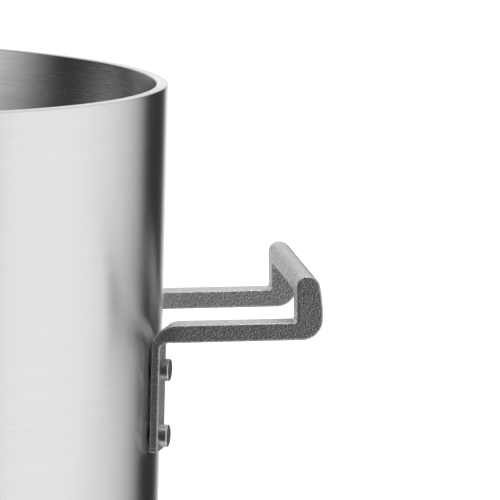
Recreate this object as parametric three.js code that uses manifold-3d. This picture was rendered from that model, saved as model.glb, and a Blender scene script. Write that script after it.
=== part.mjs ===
// Melting pot for candle wax: a deep, thick-walled steel pot with two cast loop handles, each
// held by four rivets. Millimetres, +Z up. The origin is the middle of the underside, and the
// two handles lie along +X and -X.
import * as THREE from 'three';
import { mergeVertices } from 'three/addons/utils/BufferGeometryUtils.js';
import { TessellateModifier } from 'three/addons/modifiers/TessellateModifier.js';
import Module from 'manifold-3d';

const wasm = await Module();
wasm.setup();

// ---- pot ----
const POT_RADIUS = 120;          // outside of the wall
const POT_HEIGHT = 220;          // underside to rim
const WALL = 3.5;
const BASE = 5;                  // thickness of the floor
const FLOOR_RADIUS = 9;          // inside corner between floor and wall
const HEEL_RADIUS = 12;          // outside corner between underside and wall
const RIM_EDGE = 0.5;            // rounding of both rim edges

// ---- handle ----
const HANDLE_WIDTH = 83;         // over the outsides of the two arms
const HANDLE_REACH = 45.5;       // pot wall to the outside of the grip, on the middle line
const HANDLE_DROP = 75.9;        // rim to the underside of an arm where it leaves its leg
const BAR_WIDTH = 10.2;          // arms and legs, across
const ARM_THICKNESS = 5.4;
const ARM_TILT = THREE.MathUtils.degToRad(2);      // the arms rise this much on their way out
const PLAN_BEND = 6;             // length of arm over which it turns from radial to straight
const LEG_THICKNESS = 2.6;
const LEG_LENGTH = 33.8;         // below the underside of the arm
const ROOT_OUTER_RADIUS = 7.5;   // from the back of the leg up on to the arm
const ROOT_INNER_RADIUS = 2.3;
const HEEL_BEND_RADIUS = 7;      // under the corner where the arm turns up
const THROAT_RADIUS = 0.8;       // inside that corner
const GRIP_THICKNESS = 7.6;
const GRIP_FLAT = 0.8;           // flat left along the top between its two rounded edges
const GRIP_RISE = 19.5;          // underside of the arm to the top of the grip
const GRIP_DEPTH = 5.6;          // the cross bar, from its top down
const SHOULDER_RISE = 11;        // underside of the arm to the shoulder, where the upturn is thickest
const SHOULDER_BULGE = 0.5;      // shoulder beyond the foot of the upturn
const SHOULDER_RADIUS = 30;      // makes the outer face of the upturn one slow curve
const GRIP_LEAN = 1.1;           // top of the outer face inside the foot of the upturn
const CROSS_BAR_INSET = 0.1;     // the cross bar is this much slimmer all round than its uprights
const CORNER_RADIUS = 0.8;       // small corners of leg and bar

// ---- rivets ----
const RIVET_SHANK = 4.6;         // diameters
const RIVET_HEAD = 6.9;
const RIVET_INNER_HEAD = 9.5;
const RIVET_PROUD = 2.35;        // end of the outer head above the leg
const RIVET_INNER_THICKNESS = 1.2;
const RIVET_CHAMFER = 0.4;
const RIVET_DROPS = { upper: 8.8, lower: 29 };     // below the underside of the arm

// ---- clearances ----
const SEAT_GAP = 0.3;            // between two pieces that seat on each other
const HOLE_CLEARANCE = 0.3;      // round a shank, on the radius

// ---- fineness ----
const POT_SEGMENTS = 80;
const ROUND_SEGMENTS = 16;
const ARC_STEPS = 2;             // half the number of chords in each arc
const CAST_STEP = 6;             // longest edge on a handle before it is bent in plan

// ---- derived ----
const LEG_FACE = POT_RADIUS + SEAT_GAP + LEG_THICKNESS;
const ARM_OFFSET = (HANDLE_WIDTH - BAR_WIDTH) / 2;
const LEG_ANGLE = Math.asin(ARM_OFFSET / (LEG_FACE + PLAN_BEND / 2));
const ARM_ROOT_Z = POT_HEIGHT - HANDLE_DROP;

const STEEL_BRUSHED = { color: 0xc9cbcc, roughness: 0.32, metalness: 1 };
const STEEL_BLASTED = { color: 0x85878a, roughness: 0.62, metalness: 1 };
const STEEL_TURNED = { color: 0x9a9c9e, roughness: 0.35, metalness: 1 };

// ---- solids ----

// A closed geometry as a manifold solid. Faces that shrink to a line on an axis are dropped.
function toSolid(geometry) {
  const bare = geometry.clone();
  bare.deleteAttribute('normal');
  bare.deleteAttribute('uv');
  const merged = mergeVertices(bare, 1e-4);
  const corners = merged.index.array;
  const triVerts = [];
  for (let i = 0; i < corners.length; i += 3) {
    const [a, b, c] = [corners[i], corners[i + 1], corners[i + 2]];
    if (a !== b && b !== c && c !== a) triVerts.push(a, b, c);
  }
  return new wasm.Manifold(new wasm.Mesh({
    numProp: 3,
    vertProperties: new Float32Array(merged.attributes.position.array),
    triVerts: new Uint32Array(triVerts),
  }));
}

function toGeometry(solid) {
  const mesh = solid.getMesh();
  const geometry = new THREE.BufferGeometry();
  geometry.setAttribute('position', new THREE.BufferAttribute(mesh.vertProperties, 3));
  geometry.setIndex(new THREE.BufferAttribute(mesh.triVerts, 1));
  geometry.computeVertexNormals();
  return geometry;
}

function namedMesh(name, solid, finish) {
  const mesh = new THREE.Mesh(toGeometry(solid), new THREE.MeshStandardMaterial(finish));
  mesh.name = name;
  return mesh;
}

// A closed outline whose corners [x, y, radius] are rounded, each by an arc.
function roundedOutline(corners) {
  const shape = new THREE.Shape();
  corners.forEach(([x, y, radius], i) => {
    const corner = new THREE.Vector2(x, y);
    const [px, py] = corners.at(i - 1);
    const [nx, ny] = corners[(i + 1) % corners.length];
    const back = new THREE.Vector2(px, py).sub(corner).normalize();
    const ahead = new THREE.Vector2(nx, ny).sub(corner).normalize();
    const half = Math.acos(THREE.MathUtils.clamp(back.dot(ahead), -1, 1)) / 2;
    const leftTurn = ahead.cross(back) > 0;
    const bisector = back.clone().add(ahead).normalize();
    const centre = corner.clone().addScaledVector(bisector, radius / Math.sin(half));
    const enter = corner.clone().addScaledVector(back, radius / Math.tan(half)).sub(centre);
    const leave = corner.clone().addScaledVector(ahead, radius / Math.tan(half)).sub(centre);
    shape.absarc(centre.x, centre.y, radius, enter.angle(), leave.angle(), !leftTurn);
  });
  shape.closePath();
  return shape;
}

// A cylinder that lies along a radius of the pot, at the given bearing and height.
function radialDrill(radius, from, to, bearing, z) {
  const drill = new THREE.CylinderGeometry(radius, radius, to - from, ROUND_SEGMENTS);
  drill.rotateZ(-Math.PI / 2).translate((from + to) / 2, 0, z).rotateZ(bearing);
  return toSolid(drill);
}

// The four rivet places of the handle on +X: bearing from the axis, and height.
const rivetPlaces = [];
for (const [level, drop] of Object.entries(RIVET_DROPS)) {
  for (const side of [-1, 1]) {
    rivetPlaces.push({ level, side, bearing: side * LEG_ANGLE, z: ARM_ROOT_Z - drop });
  }
}

// ---- pot body ----

// Half section from the axis: out along the underside, up, over the flat rim, down and in.
function makePotBody() {
  const section = new THREE.Path();
  const inside = POT_RADIUS - WALL;
  section.moveTo(0, 0);
  section.lineTo(POT_RADIUS - HEEL_RADIUS, 0);
  section.absarc(POT_RADIUS - HEEL_RADIUS, HEEL_RADIUS, HEEL_RADIUS, -Math.PI / 2, 0, false);
  section.absarc(POT_RADIUS - RIM_EDGE, POT_HEIGHT - RIM_EDGE, RIM_EDGE, 0, Math.PI / 2, false);
  section.absarc(inside + RIM_EDGE, POT_HEIGHT - RIM_EDGE, RIM_EDGE, Math.PI / 2, Math.PI, false);
  section.absarc(inside - FLOOR_RADIUS, BASE + FLOOR_RADIUS, FLOOR_RADIUS, 0, -Math.PI / 2, true);
  section.lineTo(0, BASE);
  const points = section.getPoints(ARC_STEPS);
  const turned = new THREE.LatheGeometry(points, POT_SEGMENTS).rotateX(Math.PI / 2);
  let body = toSolid(turned);
  for (const turn of [0, Math.PI]) {
    for (const { bearing, z } of rivetPlaces) {
      const radius = RIVET_SHANK / 2 + HOLE_CLEARANCE;
      body = body.subtract(radialDrill(radius, inside - WALL, LEG_FACE, bearing + turn, z));
    }
  }
  return body;
}

// ---- handle ----

// Points of the tilted arm: along it from the face of the leg, and up from its underside.
function onArm(along, up) {
  return [
    LEG_FACE + along * Math.cos(ARM_TILT) - up * Math.sin(ARM_TILT),
    ARM_ROOT_Z + along * Math.sin(ARM_TILT) + up * Math.cos(ARM_TILT),
  ];
}

// Distance along the arm's middle line from the leg's face to the outside of the grip.
const bendEndX = LEG_FACE * Math.cos(LEG_ANGLE) + PLAN_BEND * Math.sin(LEG_ANGLE) / LEG_ANGLE;
const GRIP_OUTSIDE = PLAN_BEND + POT_RADIUS + HANDLE_REACH - bendEndX;
const GRIP_INSIDE = GRIP_OUTSIDE - GRIP_THICKNESS;
const GRIP_ROUND = (GRIP_THICKNESS - GRIP_FLAT) / 2 - CROSS_BAR_INSET;

// How far along the arm the outer face of the upturn lies, at a height above the shoulder.
function outerFace(up) {
  const climbed = (up - SHOULDER_RISE) / (GRIP_RISE - SHOULDER_RISE);
  return GRIP_OUTSIDE + SHOULDER_BULGE - (SHOULDER_BULGE + GRIP_LEAN) * climbed;
}

// Side view of one arm: leg, root bend, rising arm, and the upturn with its round top.
function armOutline() {
  const legBack = POT_RADIUS;
  const legFoot = ARM_ROOT_Z - LEG_LENGTH;
  const backTop = ARM_ROOT_Z + ARM_THICKNESS / Math.cos(ARM_TILT)
    + (legBack - LEG_FACE) * Math.tan(ARM_TILT);
  return roundedOutline([
    [LEG_FACE, legFoot, CORNER_RADIUS],
    [LEG_FACE, ARM_ROOT_Z, ROOT_INNER_RADIUS],
    [...onArm(GRIP_OUTSIDE, 0), HEEL_BEND_RADIUS],
    [...onArm(outerFace(SHOULDER_RISE), SHOULDER_RISE), SHOULDER_RADIUS],
    [...onArm(outerFace(GRIP_RISE), GRIP_RISE), GRIP_ROUND],
    [...onArm(GRIP_INSIDE, GRIP_RISE), GRIP_ROUND],
    [...onArm(GRIP_INSIDE, ARM_THICKNESS), THROAT_RADIUS],
    [legBack, backTop, ROOT_OUTER_RADIUS],
    [legBack, legFoot, CORNER_RADIUS],
  ]);
}

// Side view of the cross bar: the top of the upturn, cut off flat underneath.
function crossBarOutline() {
  const under = GRIP_RISE - GRIP_DEPTH;
  const top = GRIP_RISE - CROSS_BAR_INSET;
  const inside = GRIP_INSIDE + CROSS_BAR_INSET;
  return roundedOutline([
    [...onArm(outerFace(under) - CROSS_BAR_INSET, under), CORNER_RADIUS],
    [...onArm(outerFace(GRIP_RISE) - CROSS_BAR_INSET, top), GRIP_ROUND],
    [...onArm(inside, top), GRIP_ROUND],
    [...onArm(inside, under), CORNER_RADIUS],
  ]);
}

// An outline drawn in side view, given its width across the bar, centred on y = 0.
function acrossBar(outline, width) {
  const bar = new THREE.ExtrudeGeometry(outline, {
    depth: width,
    curveSegments: ARC_STEPS,
    bevelEnabled: false,
  });
  return bar.rotateX(Math.PI / 2).translate(0, width / 2, 0);
}

// Lays a straight bar along the arm's middle line in plan: radial as far as the leg's face, then
// an arc, then parallel to X. side is +1 or -1.
function bendInPlan(geometry, side) {
  const radius = PLAN_BEND / LEG_ANGLE;
  const position = geometry.attributes.position;
  for (let i = 0; i < position.count; i += 1) {
    const along = position.getX(i);
    const across = position.getY(i);
    const turned = THREE.MathUtils.clamp((along - LEG_FACE) / radius, 0, LEG_ANGLE);
    const heading = LEG_ANGLE - turned;
    const beyond = along - LEG_FACE - turned * radius;
    let x = LEG_FACE * Math.cos(LEG_ANGLE) + beyond * Math.cos(heading);
    let y = LEG_FACE * Math.sin(LEG_ANGLE) + beyond * Math.sin(heading);
    x += radius * (Math.sin(LEG_ANGLE) - Math.sin(heading));
    y += radius * (Math.cos(heading) - Math.cos(LEG_ANGLE));
    x -= side * across * Math.sin(heading);
    y += side * across * Math.cos(heading);
    position.setXY(i, x, side * y);
  }
  return geometry;
}

function makeArm(side) {
  const straight = acrossBar(armOutline(), BAR_WIDTH);
  straight.deleteAttribute('normal');
  straight.deleteAttribute('uv');
  const fine = new TessellateModifier(CAST_STEP, 12).modify(straight);
  return toSolid(bendInPlan(fine, side));
}

function makeHandle() {
  const arms = makeArm(-1).add(makeArm(1));
  const barLength = HANDLE_WIDTH - BAR_WIDTH;
  const crossBar = acrossBar(crossBarOutline(), barLength);
  crossBar.translate(bendEndX - LEG_FACE - PLAN_BEND, 0, 0);
  let handle = arms.add(toSolid(crossBar));
  const clear = POT_RADIUS + SEAT_GAP;
  const wall = new THREE.CylinderGeometry(clear, clear, 2 * POT_HEIGHT, POT_SEGMENTS);
  handle = handle.subtract(toSolid(wall.rotateX(Math.PI / 2)));
  for (const { bearing, z } of rivetPlaces) {
    const radius = RIVET_SHANK / 2 + HOLE_CLEARANCE;
    handle = handle.subtract(radialDrill(radius, POT_RADIUS - WALL, LEG_FACE + WALL, bearing, z));
  }
  return handle;
}

// ---- rivet ----

// Turned about Y: a low head inside the pot, the shank, and the tall flat-ended head outside.
function makeRivet() {
  const innerFace = POT_RADIUS - WALL - SEAT_GAP;
  const innerEnd = innerFace - RIVET_INNER_THICKNESS;
  const outerEnd = LEG_FACE + RIVET_PROUD;
  const chamfer = RIVET_CHAMFER;
  const profile = [
    [0, innerEnd],
    [RIVET_INNER_HEAD / 2 - chamfer, innerEnd],
    [RIVET_INNER_HEAD / 2, innerEnd + chamfer],
    [RIVET_INNER_HEAD / 2, innerFace],
    [RIVET_SHANK / 2, innerFace],
    [RIVET_SHANK / 2, LEG_FACE + SEAT_GAP],
    [RIVET_HEAD / 2, LEG_FACE + SEAT_GAP],
    [RIVET_HEAD / 2, outerEnd - chamfer],
    [RIVET_HEAD / 2 - chamfer, outerEnd],
    [0, outerEnd],
  ];
  const points = profile.map(([radius, height]) => new THREE.Vector2(radius, height));
  return toSolid(new THREE.LatheGeometry(points, ROUND_SEGMENTS));
}

// ---- assembly ----

const pot = new THREE.Group();
pot.add(namedMesh('pot_body', makePotBody(), STEEL_BRUSHED));

const handleSolid = makeHandle();
const rivetSolid = makeRivet();
for (const [hand, turn] of [['right', 0], ['left', Math.PI]]) {
  const mounting = new THREE.Group();
  mounting.rotation.z = turn;
  mounting.add(namedMesh(`handle_${hand}`, handleSolid, STEEL_BLASTED));
  for (const { level, side, bearing, z } of rivetPlaces) {
    const atFront = (side < 0) === (turn === 0);
    const name = `rivet_${hand}_${atFront ? 'front' : 'back'}_${level}`;
    const place = new THREE.Group();
    place.rotation.z = bearing;
    place.position.z = z;
    const rivet = namedMesh(name, rivetSolid, STEEL_TURNED);
    rivet.rotation.z = -Math.PI / 2;
    place.add(rivet);
    mounting.add(place);
  }
  pot.add(mounting);
}

export default pot;
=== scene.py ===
# %% [markdown]
# # A candle melting pot in Blender
# The object is a deep, thick-walled steel pot with two cast loop handles, each held by four
# rivets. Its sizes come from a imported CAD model, which is loaded first and never moved. The CAD
# solids are faceted and sharp-edged, so each piece is modelled again at the same size with
# Blender's own tools, and then gets a finish that nodes work out.

# %% Load the CAD model
import math

import bmesh
import bpy
from mathutils import Matrix, Vector


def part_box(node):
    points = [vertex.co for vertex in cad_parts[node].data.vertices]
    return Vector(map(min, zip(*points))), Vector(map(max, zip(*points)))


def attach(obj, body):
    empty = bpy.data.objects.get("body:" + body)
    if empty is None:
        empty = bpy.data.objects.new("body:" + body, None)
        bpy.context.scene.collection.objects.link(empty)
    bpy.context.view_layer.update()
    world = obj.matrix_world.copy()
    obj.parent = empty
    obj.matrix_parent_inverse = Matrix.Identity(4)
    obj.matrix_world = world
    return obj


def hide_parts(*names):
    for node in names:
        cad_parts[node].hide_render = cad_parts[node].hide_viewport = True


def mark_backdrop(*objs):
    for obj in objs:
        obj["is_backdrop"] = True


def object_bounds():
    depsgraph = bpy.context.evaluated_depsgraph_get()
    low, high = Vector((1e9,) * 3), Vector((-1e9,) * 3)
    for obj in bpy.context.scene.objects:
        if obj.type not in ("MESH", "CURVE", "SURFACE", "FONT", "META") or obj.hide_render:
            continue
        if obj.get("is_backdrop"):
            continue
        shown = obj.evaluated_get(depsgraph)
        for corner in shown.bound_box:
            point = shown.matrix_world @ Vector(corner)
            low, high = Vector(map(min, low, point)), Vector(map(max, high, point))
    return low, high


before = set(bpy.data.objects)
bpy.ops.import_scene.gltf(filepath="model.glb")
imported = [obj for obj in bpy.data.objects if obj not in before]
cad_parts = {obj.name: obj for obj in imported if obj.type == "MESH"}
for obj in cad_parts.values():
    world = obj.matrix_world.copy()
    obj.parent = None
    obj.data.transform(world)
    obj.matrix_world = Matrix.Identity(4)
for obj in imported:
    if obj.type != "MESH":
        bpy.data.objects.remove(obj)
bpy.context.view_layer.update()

# %% [markdown]
# ## Sizes
# Blender works in metres here. The pot's radius and height are read from its CAD box, so they
# can't drift. The rest are the same values that the CAD model uses.

# %% Sizes of the pot
MM = 0.001
pot_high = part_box("pot_body")[1]
POT_RADIUS = pot_high.x
POT_HEIGHT = pot_high.z
WALL = 3.5 * MM
BASE = 5 * MM                # thickness of the floor
FLOOR_RADIUS = 9 * MM        # inside corner between floor and wall
HEEL_RADIUS = 12 * MM        # outside corner between underside and wall
RIM_EDGE = 0.5 * MM          # rounding of both rim edges
print("Pot, mm:", round(2 * POT_RADIUS / MM, 1), "across,", round(POT_HEIGHT / MM, 1), "high")

# %% [markdown]
# ## Camera
# A long lens from a little above the rim keeps the pot's wall almost parallel. The camera looks
# past the pot at the right-hand handle, so most of the pot is out of the frame. There is no lens
# shift and no depth of field, and a slight roll leans the pot.

# %% Camera
CAMERA_DISTANCE = 1.6909     # from the pot's axis
CAMERA_RISE = 0.1669         # above the rim
CAMERA_BEARING = math.radians(-1.016)
YAW = math.radians(5.979)
PITCH = math.radians(-7.353)
ROLL = math.radians(1.465)
FOCAL_LENGTH = 399.2         # in millimetres, as is the sensor
SENSOR_WIDTH = 36
NEAREST_SEEN = 0.05
FARTHEST_SEEN = 60

long_lens = bpy.data.cameras.new("long_lens")
long_lens.lens = FOCAL_LENGTH
long_lens.sensor_width = SENSOR_WIDTH
long_lens.clip_start = NEAREST_SEEN
long_lens.clip_end = FARTHEST_SEEN
camera = bpy.data.objects.new("camera", long_lens)
bpy.context.scene.collection.objects.link(camera)
bpy.context.scene.camera = camera
camera.location = (
    CAMERA_DISTANCE * math.sin(CAMERA_BEARING),
    -CAMERA_DISTANCE * math.cos(CAMERA_BEARING),
    POT_HEIGHT + CAMERA_RISE,
)
aim = (
    Matrix.Rotation(-YAW, 3, "Z")
    @ Matrix.Rotation(math.pi / 2 + PITCH, 3, "X")
    @ Matrix.Rotation(ROLL, 3, "Z")
)
camera.rotation_mode = "QUATERNION"
camera.rotation_quaternion = aim.to_quaternion()
print("Camera at", [round(value, 3) for value in camera.location])


# %% [markdown]
# ## Tools for modelling by hand in code
# A modelling operator acts on everything that is selected, so nothing may be left selected by
# accident. The first helpers start a piece from one primitive, with nothing else selected.

# %% Start a piece
def clear_selection():
    if bpy.context.mode != "OBJECT":
        bpy.ops.object.mode_set(mode="OBJECT")
    bpy.ops.object.select_all(action="DESELECT")


def choose(piece):
    """Leaves edit mode and makes this piece the only selected one and the active one."""
    clear_selection()
    piece.select_set(True)
    bpy.context.view_layer.objects.active = piece


def start_piece(name, primitive, stretch=(1, 1, 1), **settings):
    """Adds a primitive at its size and place and opens it in edit mode with nothing selected."""
    clear_selection()
    primitive(**settings)
    bpy.ops.transform.resize(value=stretch)
    piece = bpy.context.object
    piece.name = piece.data.name = name
    bpy.ops.object.transform_apply(location=True, rotation=True, scale=True)
    bpy.ops.object.mode_set(mode="EDIT")
    bpy.ops.mesh.select_all(action="DESELECT")
    return piece


# %% [markdown]
# Face numbers change with every cut, so faces, edges and corners are selected by where they are.
# The test gets the middle of each one, and a face's normal or the edge itself where that helps.

# %% Select by place
def near(a, b, within=0.02 * MM):
    return abs(a - b) < within


def pick(kind, test):
    """In edit mode, selects only the faces, edges or corners that pass the test and counts them."""
    bpy.ops.mesh.select_mode(type=kind)
    bpy.ops.mesh.select_all(action="DESELECT")
    mesh = bpy.context.edit_object.data
    shape = bmesh.from_edit_mesh(mesh)
    count = 0
    for part in {"VERT": shape.verts, "EDGE": shape.edges, "FACE": shape.faces}[kind]:
        if kind == "VERT":
            chosen = test(part.co)
        elif kind == "EDGE":
            chosen = test((part.verts[0].co + part.verts[1].co) / 2, part)
        else:
            chosen = test(part.calc_center_median(), part.normal)
        if chosen:
            part.select_set(True)
            count += 1
    shape.select_flush_mode()
    bmesh.update_edit_mesh(mesh)
    return count


def pick_all(kind="FACE"):
    bpy.ops.mesh.select_mode(type=kind)
    bpy.ops.mesh.select_all(action="SELECT")


# %% [markdown]
# The last helpers shape what is selected and finish a piece. Doubles are merged before the normals
# are turned outwards, because an open seam would let them point either way.

# %% Shape and close a piece
MERGE_DISTANCE = 0.001 * MM


def extrude(x, y, z):
    """Extrudes what is selected and moves it by x, y and z."""
    bpy.ops.mesh.extrude_region_move(TRANSFORM_OT_translate={"value": (x, y, z)})


def turn_about(angle, axis, centre):
    """Turns what is selected. With no window the operator turns the other way round."""
    bpy.ops.transform.rotate(value=angle, orient_axis=axis, center_override=centre)


def apply_modifier(piece, kind, **settings):
    modifier = piece.modifiers.new(kind.lower(), kind)
    for name, value in settings.items():
        setattr(modifier, name, value)
    choose(piece)
    bpy.ops.object.modifier_apply(modifier=modifier.name)


def close_piece(piece, smooth_angle=30):
    """Merges doubles, turns every face outwards and shades the round parts smooth."""
    pick_all()
    bpy.ops.mesh.remove_doubles(threshold=MERGE_DISTANCE)
    bpy.ops.mesh.normals_make_consistent(inside=False)
    choose(piece)
    bpy.ops.object.shade_smooth_by_angle(angle=math.radians(smooth_angle))
    loose = sum(1 for edge in piece.data.edges if edge.is_loose)
    print(piece.name, len(piece.data.polygons), "faces,", loose, "loose edges")


# %% [markdown]
# ## The pot
# The real pot is pressed from one thick disc: a flat floor, a rounded heel, a straight wall and a
# rim that is turned flat. It could be a section spun round the axis, but a cylinder is quicker to
# follow: its top is inset to leave the rim, and the inner face is pushed down to the floor.

# %% Hollow cylinder
POT_SIDES = 240

pot = start_piece(
    "drawn_pot",
    bpy.ops.mesh.primitive_cylinder_add,
    vertices=POT_SIDES,
    radius=POT_RADIUS,
    depth=POT_HEIGHT,
    location=(0, 0, POT_HEIGHT / 2),
)
print("faces on top:", pick("FACE", lambda middle, normal: normal.z > 0.9))
bpy.ops.mesh.inset(thickness=WALL)
extrude(0, 0, BASE - POT_HEIGHT)

# %% [markdown]
# The shell now has four circular edges, and each is bevelled with its own radius. The press leaves
# the wide ones at the heel and the floor. The rim's two edges are only broken, so that they don't
# cut, but those narrow roundings are what draws the bright line round the rim.

# %% Rounded edges of the pot
def ring(height, radius):
    """Selects the circle of edges at this height and radius."""
    return pick(
        "EDGE",
        lambda middle, edge: near(middle.z, height) and near(middle.xy.length, radius, 0.1 * MM),
    )


for height, radius, rounding, steps in (
    (0, POT_RADIUS, HEEL_RADIUS, 12),
    (BASE, POT_RADIUS - WALL, FLOOR_RADIUS, 10),
    (POT_HEIGHT, POT_RADIUS, RIM_EDGE, 4),
    (POT_HEIGHT, POT_RADIUS - WALL, RIM_EDGE, 4),
):
    print("edges round the ring:", ring(height, radius))
    bpy.ops.mesh.bevel(offset=rounding, segments=steps, affect="EDGES")
close_piece(pot)

# %% [markdown]
# ## The handles
# Each handle is one casting: two legs that sit on the wall, two arms that leave them and turn up
# at their ends, and a cross bar between the upturns. It is modelled in a straight layout first,
# with leg and arm in one plane, and bent on to the round wall afterwards. Its width and its foot
# are read from its CAD box.

# %% Sizes of the handle
hand_low, hand_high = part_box("handle_right")
SEAT_GAP = 0.3 * MM          # between the leg and the wall
HANDLE_WIDTH = hand_high.y - hand_low.y
HANDLE_REACH = 45.5 * MM     # pot wall to the outside of the grip
BAR_WIDTH = 10.2 * MM        # arms and legs, across
ARM_THICKNESS = 5.4 * MM
ARM_TILT = math.radians(2)
PLAN_BEND = 6 * MM           # length of arm over which it turns from radial to straight
LEG_THICKNESS = 2.6 * MM
LEG_LENGTH = 33.8 * MM
GRIP_THICKNESS = 7.6 * MM
GRIP_RISE = 19.5 * MM        # underside of the arm to the top of the grip
GRIP_DEPTH = 5.6 * MM        # the cross bar, from its top down
SHOULDER_UP = 11 * MM        # underside of the arm to the thickest place of the upturn
SHOULDER_BULGE = 0.5 * MM    # the shoulder, beyond the foot of the upturn
GRIP_LEAN = 1.1 * MM         # top of the outer face, inside the foot of the upturn
print("handle, mm:", round(HANDLE_WIDTH / MM, 1), "wide,", round(HANDLE_REACH / MM, 1), "from the wall")

# %% Places in the straight layout
LEG_BACK = POT_RADIUS + SEAT_GAP
LEG_FACE = LEG_BACK + LEG_THICKNESS
LEG_FOOT = hand_low.z
ARM_ROOT = LEG_FOOT + LEG_LENGTH
ARM_OFFSET = (HANDLE_WIDTH - BAR_WIDTH) / 2
LEG_ANGLE = math.asin(ARM_OFFSET / (LEG_FACE + PLAN_BEND / 2))
BEND_END = LEG_FACE * math.cos(LEG_ANGLE) + PLAN_BEND * math.sin(LEG_ANGLE) / LEG_ANGLE
BEND_SHIFT = BEND_END - LEG_FACE - PLAN_BEND
GRIP_OUTSIDE = POT_RADIUS + HANDLE_REACH - BEND_SHIFT
GRIP_ALONG = GRIP_OUTSIDE - LEG_FACE
GRIP_INSIDE_ALONG = GRIP_ALONG - GRIP_THICKNESS
print("leg angle:", round(math.degrees(LEG_ANGLE), 2), "degrees")
print("grip outside, in the straight layout:", round(GRIP_OUTSIDE / MM, 2), "mm")


# %% [markdown]
# One arm is drawn as a flat outline in side view, because that is where all its radii show. A
# small plane is grown edge by edge into the outline. A curve could be drawn and converted, but
# growing keeps every corner where a size puts it.

# %% Outline tools
def grow_edge(start, end, shift):
    """Extrudes the edge between two corners (x, z) of the outline by a shift (x, z)."""
    middle = ((start[0] + end[0]) / 2, (start[1] + end[1]) / 2)
    pick("EDGE", lambda place, edge: near(place.x, middle[0]) and near(place.z, middle[1]))
    extrude(shift[0], 0, shift[1])


def pick_corners(*corners):
    """Selects the corners of the outline that lie at these places (x, z)."""
    return pick(
        "VERT",
        lambda place: any(near(place.x, x) and near(place.z, z) for x, z in corners),
    )


# %% Grow the outline
arm_top = ARM_ROOT + ARM_THICKNESS
shoulder = ARM_ROOT + SHOULDER_UP
grip_in = LEG_FACE + GRIP_INSIDE_ALONG
grip_out = LEG_FACE + GRIP_ALONG

handle = start_piece(
    "right_handle",
    bpy.ops.mesh.primitive_plane_add,
    size=1,
    location=((LEG_BACK + LEG_FACE) / 2, 0, (LEG_FOOT + ARM_ROOT) / 2),
    rotation=(math.pi / 2, 0, 0),
    stretch=(LEG_THICKNESS, 1, LEG_LENGTH),
)
grow_edge((LEG_BACK, ARM_ROOT), (LEG_FACE, ARM_ROOT), (0, ARM_THICKNESS))
grow_edge((LEG_FACE, ARM_ROOT), (LEG_FACE, arm_top), (GRIP_INSIDE_ALONG, 0))
grow_edge((grip_in, ARM_ROOT), (grip_in, arm_top), (GRIP_THICKNESS, 0))
grow_edge((grip_in, arm_top), (grip_out, arm_top), (0, SHOULDER_UP - ARM_THICKNESS))
grow_edge((grip_in, shoulder), (grip_out, shoulder), (0, GRIP_RISE - SHOULDER_UP))
print("faces of the grown outline:", len(bmesh.from_edit_mesh(handle.data).faces))

# %% Join it to one face
pick_all()
bpy.ops.mesh.dissolve_faces()
pick_corners(
    (LEG_BACK, ARM_ROOT),
    (LEG_FACE, arm_top),
    (grip_in, ARM_ROOT),
    (grip_out, arm_top),
    (grip_in, shoulder),
)
bpy.ops.mesh.dissolve_verts()
print("outline corners:", len(bmesh.from_edit_mesh(handle.data).verts))


# %% [markdown]
# The arm rises two degrees on its way out. The outer face of the upturn isn't flat either: it
# swells to a shoulder half-way up and leans in above it, so that it fills the hand. Both are made
# by moving corners of the outline.

# %% Tilt the arm and lean the grip
def on_arm(along, up):
    """A point of the tilted arm, from the corner of leg and arm: along it, and up from it."""
    return (
        LEG_FACE + along * math.cos(ARM_TILT) - up * math.sin(ARM_TILT),
        ARM_ROOT + along * math.sin(ARM_TILT) + up * math.cos(ARM_TILT),
    )


def move_corner(old, new):
    """Moves one corner of the outline from one place (x, z) to another."""
    pick_corners(old)
    bpy.ops.transform.translate(value=(new[0] - old[0], 0, new[1] - old[1]))


throat = on_arm(GRIP_INSIDE_ALONG, ARM_THICKNESS)
heel = on_arm(GRIP_ALONG, 0)
bulge = on_arm(GRIP_ALONG + SHOULDER_BULGE, SHOULDER_UP)
top_inside = on_arm(GRIP_INSIDE_ALONG, GRIP_RISE)
top_outside = on_arm(GRIP_ALONG - GRIP_LEAN, GRIP_RISE)

print("corners turned:", pick("VERT", lambda place: place.x > LEG_FACE + ARM_THICKNESS))
turn_about(ARM_TILT, "Y", (LEG_FACE, 0, ARM_ROOT))
move_corner(on_arm(GRIP_ALONG, GRIP_RISE), top_outside)
move_corner(on_arm(GRIP_ALONG, SHOULDER_UP), bulge)

# %% [markdown]
# Each corner of the casting has its own radius, from a tight throat, where the fingers pull, to
# the wide turns at root and heel. Rounding them in the flat outline is one bevel a corner. Done on
# the finished bar, each would take a chain of edges.

# %% Round the corners of the outline
for name, (x, z), radius, steps in (
    ("root, below", (LEG_FACE, ARM_ROOT), 2.3 * MM, 6),
    ("root, above", (LEG_BACK, arm_top), 7.5 * MM, 14),
    ("throat", throat, 0.8 * MM, 4),
    ("heel", heel, 6.0 * MM, 12),
    ("shoulder", bulge, 4.8 * MM, 9),
    ("grip top, inside", top_inside, 3.2 * MM, 9),
    ("grip top, outside", top_outside, 3.1 * MM, 9),
):
    found = pick_corners((x, z))
    bpy.ops.mesh.bevel(offset=radius, segments=steps, affect="VERTICES")
    print(name, "corners:", found, "radius, mm:", round(radius / MM, 2))

# %% [markdown]
# The outline is now pulled out to the width of the bar and moved out to the back arm's place. A
# cut across the upturn frees the top of its inner side, which is pulled to the middle of the
# handle as half of the cross bar. The corner under the bar gets its cast fillet there.

# %% Width of the arm
inner_side = ARM_OFFSET - BAR_WIDTH / 2
pick_all()
extrude(0, BAR_WIDTH, 0)
bpy.ops.mesh.select_all(action="SELECT")
bpy.ops.transform.translate(value=(0, inner_side, 0))
bpy.ops.mesh.normals_make_consistent(inside=False)
print("arm, mm:", round(inner_side / MM, 2), "to", round((inner_side + BAR_WIDTH) / MM, 2))

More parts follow.
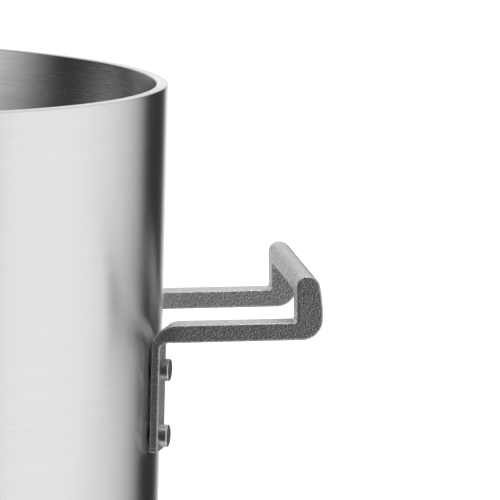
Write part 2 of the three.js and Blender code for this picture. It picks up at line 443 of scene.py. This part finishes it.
# %% Half of the cross bar
bar_x, bar_under = on_arm(GRIP_ALONG, GRIP_RISE - GRIP_DEPTH)
bpy.ops.mesh.select_all(action="SELECT")
bpy.ops.mesh.bisect(
    plane_co=(bar_x, 0, bar_under),
    plane_no=(-math.sin(ARM_TILT), 0, math.cos(ARM_TILT)),
)
found = pick(
    "FACE",
    lambda middle, normal: near(middle.y, inner_side) and middle.z > bar_under - 0.2 * MM,
)
print("bar faces found:", found)
extrude(0, -inner_side, 0)
bpy.ops.mesh.delete(type="FACE")

# %% Fillet under the cross bar
WINDOW_FILLET = 2.2 * MM
BAR_EDGE_LEAST = 5 * MM      # the corner under the bar is longer than this

found = pick(
    "EDGE",
    lambda middle, edge: near(middle.y, inner_side)
    and near(middle.z, bar_under, 0.4 * MM)
    and not near(edge.verts[0].co.x, edge.verts[1].co.x, BAR_EDGE_LEAST),
)
print("corner under the bar:", found)
bpy.ops.mesh.bevel(offset=WINDOW_FILLET, segments=4, affect="EDGES")

# %% [markdown]
# The casting has no sharp edges: tumbling and blasting leave them all slightly round, which a
# Bevel modifier on the steep edges gives. It is the rounded edge that catches the light and makes
# the metal look solid. It comes before the bend, while every face is still large and clean.

# %% Softened edges
EDGE_WIDTH = 0.6 * MM

close_piece(handle)
apply_modifier(
    handle,
    "BEVEL",
    width=EDGE_WIDTH,
    segments=4,
    limit_method="ANGLE",
    angle_limit=math.radians(40),
    use_clamp_overlap=False,
)
print("handle with soft edges:", len(handle.data.polygons), "faces")

# %% [markdown]
# Seen from above, a leg sits square on the round wall, but the arms run parallel. So each arm
# turns through the leg's angle just after it leaves the leg. Cuts across the bar make room for
# the turn, and everything on the leg's side of a cut is turned a little at each one. Blender's
# own bend tool needs a window, so it can't be used here.

# %% Turn the leg on to the wall
BEND_STEPS = 6

bpy.ops.object.mode_set(mode="EDIT")
stations = [LEG_FACE + PLAN_BEND * step / BEND_STEPS for step in range(BEND_STEPS + 1)]
for x in stations:
    bpy.ops.mesh.select_all(action="SELECT")
    bpy.ops.mesh.bisect(plane_co=(x, 0, 0), plane_no=(1, 0, 0))
for before, after in zip(stations[:-1], stations[1:]):
    pivot = (before + after) / 2
    pick("VERT", lambda place: place.x < pivot)
    turn_about(-LEG_ANGLE / BEND_STEPS, "Z", (pivot, ARM_OFFSET, 0))
bpy.ops.mesh.select_all(action="SELECT")
bpy.ops.transform.translate(value=(BEND_SHIFT, 0, 0))
close_piece(handle)

# %% [markdown]
# The front arm is the back arm's mirror image, so a Mirror modifier makes it and joins the two
# halves of the cross bar. Weighted normals then keep the broad faces flat next to their rounded
# edges.

# %% Front arm
apply_modifier(handle, "MIRROR", use_axis=(False, True, False), use_clip=True)
bpy.ops.object.mode_set(mode="EDIT")
close_piece(handle)
apply_modifier(handle, "WEIGHTED_NORMAL", keep_sharp=True)
print("handle box, mm:", [[round(v / MM, 1) for v in corner] for corner in handle.bound_box][::6])

# %% [markdown]
# ## The rivets
# Each rivet is a turned steel stud: a flat head with a narrow chamfer outside, a shank through leg
# and wall, and a low head inside that the press has spread. It is modelled along X from the outer
# head, whose back is inset and pushed through the wall. Three joined cylinders would leave faces
# inside the metal, and this way leaves none.

# %% Sizes of a rivet
RIVET_SIDES = 64
RIVET_HEAD = 6.9 * MM        # diameters
RIVET_SHANK = 4.6 * MM
RIVET_INNER_HEAD = 9.5 * MM
RIVET_PROUD = 2.35 * MM      # end of the outer head above the leg
RIVET_INNER_THICKNESS = 1.2 * MM
RIVET_CHAMFER = 0.25 * MM
RIVET_INNER_ROUNDING = 0.9 * MM
RIVET_FACING = 0.15 * MM     # plain border that keeps the flat end flat
RIVET_DROPS = {"upper": 8.8 * MM, "lower": 29 * MM}     # below the underside of the arm
INSIDE_WALL = POT_RADIUS - WALL
OUTER_END = LEG_FACE + RIVET_PROUD
INNER_END = INSIDE_WALL - RIVET_INNER_THICKNESS
print("rivet length, mm:", round((OUTER_END - INNER_END) / MM, 2))

# %% Heads and shank
rivet = start_piece(
    "rivet",
    bpy.ops.mesh.primitive_cylinder_add,
    vertices=RIVET_SIDES,
    radius=RIVET_HEAD / 2,
    depth=RIVET_PROUD,
    location=(LEG_FACE + RIVET_PROUD / 2, 0, 0),
    rotation=(0, math.pi / 2, 0),
)
print("back of the outer head:", pick("FACE", lambda middle, normal: normal.x < -0.9), "face")
bpy.ops.mesh.inset(thickness=(RIVET_HEAD - RIVET_SHANK) / 2)
extrude(INSIDE_WALL - LEG_FACE, 0, 0)
extrude(0, 0, 0)
spread = RIVET_INNER_HEAD / RIVET_SHANK
bpy.ops.transform.resize(value=(1, spread, spread), center_override=(INSIDE_WALL, 0, 0))
extrude(-RIVET_INNER_THICKNESS, 0, 0)


# %% [markdown]
# The lathe breaks the outer head's edge with a narrow straight chamfer, and the press rounds the
# inner head. The flat end keeps a plain border inside its chamfer, so that smooth shading doesn't
# bulge it.

# %% Edges of both heads
def rivet_ring(x, radius):
    """Selects the circle of edges at this place along the rivet."""
    return pick(
        "EDGE",
        lambda middle, edge: near(middle.x, x) and near(middle.yz.length, radius, 0.05 * MM),
    )


print("edges of the outer head:", rivet_ring(OUTER_END, RIVET_HEAD / 2))
bpy.ops.mesh.bevel(offset=RIVET_CHAMFER, segments=1, affect="EDGES")
print("edges of the inner head:", rivet_ring(INNER_END, RIVET_INNER_HEAD / 2))
bpy.ops.mesh.bevel(offset=RIVET_INNER_ROUNDING, segments=5, affect="EDGES")
pick("FACE", lambda middle, normal: normal.x > 0.9 and middle.x > OUTER_END - 0.1 * MM)
bpy.ops.mesh.inset(thickness=RIVET_FACING)
close_piece(rivet)

# %% [markdown]
# A turned head shows rings about its own axis. While the rivet still lies along X, its Y and Z are
# that pattern's coordinates, so they are stored as a UV map, in millimetres. Every copy carries
# the map along.

# %% Coordinates about the rivet's axis
about_axis = rivet.data.uv_layers.new(name="about_axis")
for loop in rivet.data.loops:
    place = rivet.data.vertices[loop.vertex_index].co
    about_axis.data[loop.index].uv = (place.y / MM, place.z / MM)
print("corners with ring coordinates:", len(about_axis.data))


# %% [markdown]
# ## Copies
# The left handle is the right one turned half round the pot's axis. The eight rivets sit on the
# centre lines of the four legs, which are as far round the pot as the leg's angle says. Each copy
# gets its own mesh, with its place applied to it.

# %% Copies for both handles
HALF_TURN = math.pi


def copy_turned(source, name, bearing, rise=0):
    """A copy with its own mesh, turned about the pot's axis and raised, with its place applied."""
    choose(source)
    bpy.ops.object.duplicate(linked=False)
    copy = bpy.context.object
    copy.name = copy.data.name = name
    copy.rotation_euler = (0, 0, bearing)
    copy.location = (0, 0, rise)
    bpy.ops.object.transform_apply(location=True, rotation=True, scale=True)
    return copy


left_handle = copy_turned(handle, "left_handle", HALF_TURN)
rivets = []
for side, turn, backwards in (("right", 0, 1), ("left", HALF_TURN, -1)):
    for place, swing in (("front", -LEG_ANGLE), ("back", LEG_ANGLE)):
        bearing = turn + backwards * swing
        for level, drop in RIVET_DROPS.items():
            stud = copy_turned(rivet, f"{side}_{place}_{level}_rivet", bearing, ARM_ROOT - drop)
            rivets.append((stud, f"rivet_{side}_{place}_{level}"))
bpy.data.objects.remove(rivet)

# %% Measure the rivets against the CAD model
for stud, node in rivets:
    low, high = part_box(node)
    middle = sum((Vector(corner) for corner in stud.bound_box), Vector()) / 8
    gap = (middle - (low + high) / 2).length
    print(stud.name, "is", round(gap / MM, 2), "mm from its CAD place")


# %% [markdown]
# ## Finishes
# All three finishes are bare steel, so what tells them apart is how each surface was worked. A
# metal shows almost nothing but reflections. Its pattern is therefore mostly roughness and bump,
# with only a little colour. These helpers keep the node code short.

# %% Materials and nodes
def new_finish(name, colour, roughness, anisotropy=0.0):
    """A bare metal with its own shader values. Returns the material and its shader."""
    material = bpy.data.materials.new(name)
    material.use_nodes = True
    shader = material.node_tree.nodes["Principled BSDF"]
    shader.inputs["Metallic"].default_value = 1.0
    shader.inputs["Base Color"].default_value = (*colour, 1)
    shader.inputs["Roughness"].default_value = roughness
    shader.inputs["Anisotropic"].default_value = anisotropy
    return material, shader


def add_node(material, kind, inputs=None, **settings):
    """Adds a node. An input is given a number, a vector, or another node's output."""
    made = material.node_tree.nodes.new(kind)
    for name, value in settings.items():
        setattr(made, name, value)
    for socket, value in (inputs or {}).items():
        if isinstance(value, bpy.types.NodeSocket):
            material.node_tree.links.new(value, made.inputs[socket])
        else:
            made.inputs[socket].default_value = value
    return made


def wire(material, output, socket):
    material.node_tree.links.new(output, socket)


def wear_only(piece, *materials):
    """Gives a piece these materials and no others."""
    piece.data.materials.clear()
    for material in materials:
        piece.data.materials.append(material)


# %% Numbers in nodes
def math_node(material, operation, *values):
    return add_node(
        material, "ShaderNodeMath", dict(enumerate(values)), operation=operation
    ).outputs[0]


def blend(material, *weighted):
    """Adds up grains, each given with its weight."""
    total = None
    for value, weight in weighted:
        share = math_node(material, "MULTIPLY", value, weight)
        total = share if total is None else math_node(material, "ADD", total, share)
    return total


def length_of(material, vector):
    return add_node(
        material, "ShaderNodeVectorMath", {0: vector}, operation="LENGTH"
    ).outputs["Value"]


def object_place(material):
    return add_node(material, "ShaderNodeTexCoord").outputs["Object"]


# %% Grain, tone and relief
def noise(material, place, scale, detail=3.0, roughness=0.55):
    """Soft random grain between 0 and 1, about 1/scale metres from one spot to the next."""
    inputs = {"Vector": place, "Scale": scale, "Detail": detail, "Roughness": roughness}
    return add_node(material, "ShaderNodeTexNoise", inputs).outputs["Fac"]


def spread_over(material, value, low, high, from_low=0.3, from_high=0.7):
    """Stretches a grain's middle range over low to high."""
    inputs = {
        "Value": value,
        "From Min": from_low,
        "From Max": from_high,
        "To Min": low,
        "To Max": high,
    }
    return add_node(material, "ShaderNodeMapRange", inputs).outputs["Result"]


def greys(material, value, dark, light):
    """A colour between two greys, from the dark one at 0 to the light one at 1."""
    ramp = add_node(material, "ShaderNodeValToRGB", {"Fac": value})
    ramp.color_ramp.elements[0].color = (*dark, 1)
    ramp.color_ramp.elements[1].color = (*light, 1)
    return ramp.outputs["Color"]


def relief(material, shader, height, depth, strength):
    """Lets a grain raise and sink the surface by about this depth."""
    inputs = {"Strength": strength, "Distance": depth, "Height": height}
    bump = add_node(material, "ShaderNodeBump", inputs)
    wire(material, bump.outputs["Normal"], shader.inputs["Normal"])


# %% [markdown]
# ### The pot's steel
# The drawn pot is spun against an abrasive belt, so its lines run round the wall and in rings over
# the rim and floor. The lines come from a noise that is read far faster along height plus radius
# than round the pot, so one pattern fits the upright wall and the flat floor.

# %% Coordinates for the belt's lines
def ring_place(material, place, along, across):
    """Coordinates that change slowly round the pot and fast over its height and its rings."""
    axes = add_node(material, "ShaderNodeSeparateXYZ", {"Vector": place}).outputs
    flat = add_node(material, "ShaderNodeCombineXYZ", {"X": axes["X"], "Y": axes["Y"]})
    climb = math_node(material, "ADD", axes["Z"], length_of(material, flat.outputs[0]))
    inputs = {
        "X": math_node(material, "MULTIPLY", axes["X"], along),
        "Y": math_node(material, "MULTIPLY", axes["Y"], along),
        "Z": math_node(material, "MULTIPLY", climb, across),
    }
    return add_node(material, "ShaderNodeCombineXYZ", inputs).outputs[0]


# %% [markdown]
# Fine and coarse lines are blended, and a soft cloud varies them a little, as the belt's pressure
# does. Grooves like these spread a highlight across them, so the shader is anisotropic: its
# tangent runs round the pot and is turned a quarter, so that highlights stretch up the wall.

# %% Brushed steel
QUARTER_TURN = 0.25
FINE_SPOTS = 22              # spots of fine grain in a metre, round the pot
COARSE_SPOTS = 7
CLOUD_SPOTS = 18
COARSE_SHARE = 0.16          # coarse lines for each fine line


def brushed_steel(name, dark, light, smooth, rough, line_width, line_depth, anisotropy):
    material, shader = new_finish(name, light, smooth, anisotropy)
    shader.inputs["Anisotropic Rotation"].default_value = QUARTER_TURN
    place = object_place(material)
    fine_place = ring_place(material, place, FINE_SPOTS, 1 / line_width)
    fine = noise(material, fine_place, 1, detail=3, roughness=0.6)
    coarse_place = ring_place(material, place, COARSE_SPOTS, COARSE_SHARE / line_width)
    coarse = noise(material, coarse_place, 1, detail=4, roughness=0.7)
    cloud = noise(material, place, CLOUD_SPOTS, detail=2)
    lines = blend(material, (fine, 0.6), (coarse, 0.4))
    tone = blend(material, (lines, 0.8), (cloud, 0.2))
    colour = greys(material, spread_over(material, tone, 0, 1), dark, light)
    wire(material, colour, shader.inputs["Base Color"])
    wire(material, spread_over(material, tone, smooth, rough), shader.inputs["Roughness"])
    relief(material, shader, lines, line_depth, strength=0.6)
    tangent = add_node(material, "ShaderNodeTangent", direction_type="RADIAL", axis="Z")
    wire(material, tangent.outputs["Tangent"], shader.inputs["Tangent"])
    print(name, "has", len(material.node_tree.nodes), "nodes")
    return material


# %% [markdown]
# The outside is buffed after brushing and is the palest. Inside, a coarser belt leaves a darker
# and more open line. The rim is faced on a lathe, with the finest rings of the three. Its greys
# are set lower than the wall's as painted shade, which dims the flat top under the soft box.

# %% Three finishes of the pot
outer_steel = brushed_steel(
    "brushed_wall",
    dark=(0.77, 0.77, 0.775),
    light=(0.84, 0.84, 0.84),
    smooth=0.28,
    rough=0.33,
    line_width=0.5 * MM,
    line_depth=0.0006 * MM,
    anisotropy=1.0,
)
inner_steel = brushed_steel(
    "brushed_inside",
    dark=(0.46, 0.46, 0.465),
    light=(0.78, 0.78, 0.78),
    smooth=0.2,
    rough=0.32,
    line_width=0.7 * MM,
    line_depth=0.002 * MM,
    anisotropy=1.0,
)
# The rim's low greys are painted shade on the top face, not a darker steel; its rings are real.
rim_steel_painted_shade = brushed_steel(
    "turned_rim_painted_shade",
    dark=(0.56, 0.56, 0.565),
    light=(0.7, 0.7, 0.7),
    smooth=0.26,
    rough=0.36,
    line_width=0.3 * MM,
    line_depth=0.004 * MM,
    anisotropy=0.9,
)

# %% Finish of each face
wear_only(pot, outer_steel, inner_steel, rim_steel_painted_shade)
counts = [0, 0, 0]
for face in pot.data.polygons:
    middle = face.center
    inside = middle.xy.length < POT_RADIUS - WALL + MERGE_DISTANCE
    above_floor = middle.z > BASE - MERGE_DISTANCE
    if middle.z > POT_HEIGHT - RIM_EDGE:
        face.material_index = 2
    elif inside and above_floor:
        face.material_index = 1
    counts[face.material_index] += 1
print("pot faces outside, inside and on the rim:", counts)

# %% [markdown]
# ### The handle's steel
# The handles are investment castings that are blasted with fine beads: an even, dull grey with a
# grain of less than a millimetre. Handling polishes the raised edges a little. A Bevel node could
# look for them at every render, but it is slow and noisy, so the edges come from the mesh: a
# corner whose faces point different ways is marked in an attribute, and the polish reads it.

# %% Edge attribute
FULL_WEAR = math.radians(30)


def store_edge_wear(piece):
    """Marks the corners that lie on a rounded edge, from how far their faces' normals differ."""
    mesh = piece.data
    shape = bmesh.new()
    shape.from_mesh(mesh)
    wear = []
    for corner in shape.verts:
        normals = [face.normal for face in corner.link_faces]
        widest = max((a.angle(b, 0.0) for a in normals for b in normals), default=0.0)
        wear.append(min(1.0, widest / FULL_WEAR))
    shape.free()
    attribute = mesh.attributes.new("edge_wear", "FLOAT", "POINT")
    attribute.data.foreach_set("value", wear)
    print(piece.name, "worn corners:", sum(1 for value in wear if value > 0.6), "of", len(wear))


for piece in (handle, left_handle):
    store_edge_wear(piece)

# %% [markdown]
# Three noises make the casting's grain. The finest is the beads' pits and carries most of the
# weight. The two wider ones keep it from looking printed. The same grain sets tone, roughness and
# relief, so a pit is dark, dull and deep at once.

# %% Grain of the casting
PIT_SIZE = 0.6 * MM
BLOTCH_SIZE = 2.6 * MM
CLOUD_SIZE = 16 * MM

cast_steel, cast_shader = new_finish("blasted_casting", (0.5, 0.5, 0.5), 0.5)
cast_place = object_place(cast_steel)
pits = noise(cast_steel, cast_place, 1 / PIT_SIZE, detail=2, roughness=0.65)
blotches = noise(cast_steel, cast_place, 1 / BLOTCH_SIZE, detail=3)
cloud = noise(cast_steel, cast_place, 1 / CLOUD_SIZE, detail=2)
grain = blend(cast_steel, (pits, 0.8), (blotches, 0.12), (cloud, 0.08))
worn = add_node(cast_steel, "ShaderNodeAttribute", attribute_name="edge_wear").outputs["Fac"]
print("grain of the casting:", len(cast_steel.node_tree.nodes), "nodes")

# %% Tone, roughness and relief of the casting
GRAIN_LOW = 0.4              # the middle of the grain's range, which is stretched
GRAIN_HIGH = 0.6
PIT_DEPTH = 0.4 * MM
PIT_GREY = (0.35, 0.35, 0.355)
PEAK_GREY = (0.57, 0.57, 0.57)
PEAK_TONE = 0.85             # leaves room for the worn edges to be lighter still
EDGE_TONE = 0.25
PIT_ROUGHNESS = 0.5
PEAK_ROUGHNESS = 0.36
EDGE_POLISH = 0.1

cast_tone = spread_over(cast_steel, grain, 0, PEAK_TONE, GRAIN_LOW, GRAIN_HIGH)
cast_tone = math_node(
    cast_steel, "ADD", cast_tone, math_node(cast_steel, "MULTIPLY", worn, EDGE_TONE)
)
cast_colour = greys(cast_steel, cast_tone, PIT_GREY, PEAK_GREY)
wire(cast_steel, cast_colour, cast_shader.inputs["Base Color"])
dullness = spread_over(
    cast_steel, grain, PIT_ROUGHNESS, PEAK_ROUGHNESS, GRAIN_LOW, GRAIN_HIGH
)
smoothing = math_node(cast_steel, "MULTIPLY", worn, EDGE_POLISH)
cast_roughness = math_node(cast_steel, "SUBTRACT", dullness, smoothing)
wire(cast_steel, cast_roughness, cast_shader.inputs["Roughness"])
relief(cast_steel, cast_shader, grain, PIT_DEPTH, strength=1.0)
for piece in (handle, left_handle):
    wear_only(piece, cast_steel)
print("handle finish:", len(cast_steel.node_tree.nodes), "nodes")

# %% [markdown]
# ### The rivets' steel
# A rivet's head is faced on a lathe, so its marks are rings about its own axis, which differs from
# rivet to rivet. Object coordinates can't give that, so the rings read the UV map that was stored
# on the first rivet: the distance from its middle, and nothing else, goes into the noise.

# %% Rings and dust on a rivet
RINGS_PER_MM = 5
DUST_SIZE = 0.7 * MM

rivet_steel, rivet_shader = new_finish("turned_stud", (0.6, 0.6, 0.6), 0.3)
turned = add_node(rivet_steel, "ShaderNodeUVMap", uv_map="about_axis").outputs["UV"]
ring_count = math_node(rivet_steel, "MULTIPLY", length_of(rivet_steel, turned), RINGS_PER_MM)
rings = add_node(rivet_steel, "ShaderNodeCombineXYZ", {"Z": ring_count}).outputs[0]
ring_marks = noise(rivet_steel, rings, 1, detail=4, roughness=0.7)
dust = noise(rivet_steel, object_place(rivet_steel), 1 / DUST_SIZE, detail=2)
marks = blend(rivet_steel, (ring_marks, 0.7), (dust, 0.3))
print("rivet marks:", len(rivet_steel.node_tree.nodes), "nodes")

# %% Tone, roughness and relief of a rivet
MARK_DEPTH = 0.015 * MM
MARK_GREY = (0.52, 0.52, 0.525)
FACED_GREY = (0.7, 0.7, 0.7)
RIVET_SMOOTH = 0.24
RIVET_ROUGH = 0.34

rivet_tone = spread_over(rivet_steel, marks, 0, 1)
rivet_colour = greys(rivet_steel, rivet_tone, MARK_GREY, FACED_GREY)
wire(rivet_steel, rivet_colour, rivet_shader.inputs["Base Color"])
rivet_roughness = spread_over(rivet_steel, marks, RIVET_SMOOTH, RIVET_ROUGH)
wire(rivet_steel, rivet_roughness, rivet_shader.inputs["Roughness"])
relief(rivet_steel, rivet_shader, marks, MARK_DEPTH, strength=0.5)
for stud, node in rivets:
    wear_only(stud, rivet_steel)
print("rivet finish on", len(rivets), "rivets")

# %% [markdown]
# ## Tie the pieces to the CAD model
# Nothing moves on this pot, so every piece rides on the root body. Each piece stands for one CAD
# node, whose own part is hidden. The table also names the finish slot of each node, which the code
# doesn't use.

# %% Bodies, nodes and slots
pairs = [
    (pot, "pot_body", "pot_steel"),
    (handle, "handle_right", "handle_steel"),
    (left_handle, "handle_left", "handle_steel"),
]
pairs += [(stud, node, "rivet_steel") for stud, node in rivets]
for piece, node, slot in pairs:
    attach(piece, "root")
    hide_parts(node)
print("pieces tied to the CAD model:", len(pairs))

# %% [markdown]
# ## Studio
# The floor is a wide, pale, dull plane. A white world and one large soft light overhead light it
# evenly, so the pot seems to stand in a white room, with only a faint shadow under it.

# %% World and overhead light
SOFT_BOX_SIZE = 3.0
SOFT_BOX_HEIGHT = 3.0
SOFT_BOX_POWER = 40

bpy.context.scene.view_settings.view_transform = "Standard"
world = bpy.data.worlds.new("white_room")
bpy.context.scene.world = world
world.use_nodes = True
world.node_tree.nodes["Background"].inputs["Color"].default_value = (1, 1, 1, 1)
world.node_tree.nodes["Background"].inputs["Strength"].default_value = 1.0

soft_box = bpy.data.lights.new("soft_box", "AREA")
soft_box.shape = "DISK"
soft_box.size = SOFT_BOX_SIZE
soft_box.energy = SOFT_BOX_POWER
overhead = bpy.data.objects.new("soft_box", soft_box)
overhead.location = (0, 0, SOFT_BOX_HEIGHT)
bpy.context.scene.collection.objects.link(overhead)
print("soft box:", soft_box.energy, "W at", overhead.location.z, "m")

# %% Floor
FLOOR_SIZE = 40
FLOOR_GREY = 0.95
FLOOR_ROUGHNESS = 0.9

clear_selection()
bpy.ops.mesh.primitive_plane_add(size=FLOOR_SIZE)
floor = bpy.context.object
floor.name = "floor"
floor_paper = bpy.data.materials.new("floor_paper")
floor_paper.use_nodes = True
floor_shader = floor_paper.node_tree.nodes["Principled BSDF"]
floor_shader.inputs["Base Color"].default_value = (FLOOR_GREY, FLOOR_GREY, FLOOR_GREY, 1)
floor_shader.inputs["Roughness"].default_value = FLOOR_ROUGHNESS
floor_shader.inputs["Specular IOR Level"].default_value = 0.0
wear_only(floor, floor_paper)
print("floor, m:", [round(size, 1) for size in floor.dimensions])

# %% [markdown]
# ### Paper for the steel to reflect
# Polished steel is only as good as what it reflects. In a product studio, sheets of white and
# black paper stand round a pot and lie at its foot, and they give the wall its soft bands and its
# dark edge. Here they are one surround that glows with its own tones. The camera, the floor and
# the shadows ignore it, and only reflections see it.
#
# The tones are given by bearing, in degrees from the camera's side, positive to the right.

# %% Brightness of the paper
PAPER_TONES = (
    (-180, 0.7),
    (-160, 0.4),
    (-148, 0.05),
    (-125, 0.05),
    (-114, 0.03),
    (-107, 0.08),
    (-98, 0.55),
    (-90, 1.1),
    (-82, 1.45),
    (-74, 1.5),
    (-62, 0.9),
    (-50, 0.35),
    (-38, 0.04),
    (36, 0.04),
    (48, 0.4),
    (58, 0.85),
    (66, 1.0),
    (85, 1.0),
    (92, 0.97),
    (102, 0.88),
    (112, 0.72),
    (119, 0.54),
    (123, 0.36),
    (126.5, 0.03),
    (149, 0.03),
    (151, 1.0),
    (164, 1.0),
    (169, 1.6),
    (180, 1.6),
)


def paper_tone(bearing):
    """Brightness of the paper at a bearing, between the two nearest rows."""
    for (start, first), (end, last) in zip(PAPER_TONES[:-1], PAPER_TONES[1:]):
        if start <= bearing <= end:
            return first + (last - first) * (bearing - start) / (end - start)
    return PAPER_TONES[-1][1]


print("paper beside the camera and behind the pot:", paper_tone(0), paper_tone(180))

# %% [markdown]
# A round wall turns a ray from the camera through twice the bearing of the place that it hits. So
# each column of paper starts at the pot's foot, runs over the floor along the reflected ray and
# goes up at the surround. A tone is then one upright band on the wall, and the bands stay
# straight down to the floor. Above the flags, the paper in front is never quite black, and the
# paper at the back right is white.

# %% One column of paper
SURROUND_RADIUS = 0.6
SURROUND_HEIGHT = 1.4
FLAG_HEIGHT = 0.4            # up to here the paper has its own tone
FLAG_BLEND = 0.05            # and over this height it changes to the upper tone
FRONT_UPPER_TONE = 0.14
BACK_UPPER_TONE = 1.05
FOOT_GAP = 2 * MM            # between the pot's wall and the paper on the floor
PAPER_LIFT = 0.5 * MM


def heading(degrees):
    """Direction over the floor at a bearing from the camera's side."""
    return Vector((math.sin(math.radians(degrees)), -math.cos(math.radians(degrees)), 0))


def upper_tone(tone, outer):
    if outer.y < 0:
        return max(tone, FRONT_UPPER_TONE)
    return BACK_UPPER_TONE if outer.x > 0 else tone


def paper_column(reflected):
    """Places, heights and tones up one column, which lies along a reflected ray."""
    foot = heading(reflected / 2) * (POT_RADIUS + FOOT_GAP)
    ray = heading(reflected)
    along = foot.dot(ray)
    reach = math.sqrt(along ** 2 - foot.length_squared + SURROUND_RADIUS ** 2) - along
    outer = foot + ray * reach
    tone = paper_tone(math.degrees(math.atan2(outer.x, -outer.y)))
    above = upper_tone(tone, outer)
    return (
        (foot, PAPER_LIFT, tone),
        (outer, PAPER_LIFT, tone),
        (outer, FLAG_HEIGHT, tone),
        (outer, FLAG_HEIGHT + FLAG_BLEND, above),
        (outer, SURROUND_HEIGHT, above),
    )


# %% Paper surround
COLUMN_STEP = 2              # degrees between reflected rays

shape = bmesh.new()
tones = shape.verts.layers.float_color.new("tone")
columns = []
for reflected in range(-180, 181, COLUMN_STEP):
    column = []
    for place, height, tone in paper_column(reflected):
        corner = shape.verts.new((place.x, place.y, height))
        corner[tones] = (tone, tone, tone, 1)
        column.append(corner)
    columns.append(column)
for left, right in zip(columns[:-1], columns[1:]):
    for row in range(len(left) - 1):
        shape.faces.new((left[row], right[row], right[row + 1], left[row + 1]))
surround_mesh = bpy.data.meshes.new("paper_surround")
shape.to_mesh(surround_mesh)
shape.free()
surround = bpy.data.objects.new("paper_surround", surround_mesh)
bpy.context.scene.collection.objects.link(surround)
print("paper surround:", len(columns), "columns")

# %% Glow of the paper, seen only in reflections
toned_paper = bpy.data.materials.new("toned_paper")
toned_paper.use_nodes = True
toned_paper.node_tree.nodes.clear()
tone_of = add_node(toned_paper, "ShaderNodeAttribute", attribute_name="tone").outputs["Color"]
glow = add_node(toned_paper, "ShaderNodeEmission", {"Color": tone_of})
add_node(toned_paper, "ShaderNodeOutputMaterial", {"Surface": glow.outputs[0]})
wear_only(surround, toned_paper)
for ray_kind in ("camera", "diffuse", "shadow", "transmission"):
    setattr(surround, f"visible_{ray_kind}", False)
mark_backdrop(floor, surround)
print("left to see the paper:", "glossy rays" if surround.visible_glossy else "nothing")

# %% [markdown]
# ## Sizes and finish
# The box of the finished pieces is worked out, without the floor and the paper.

# %% Sizes and finish
low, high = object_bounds()
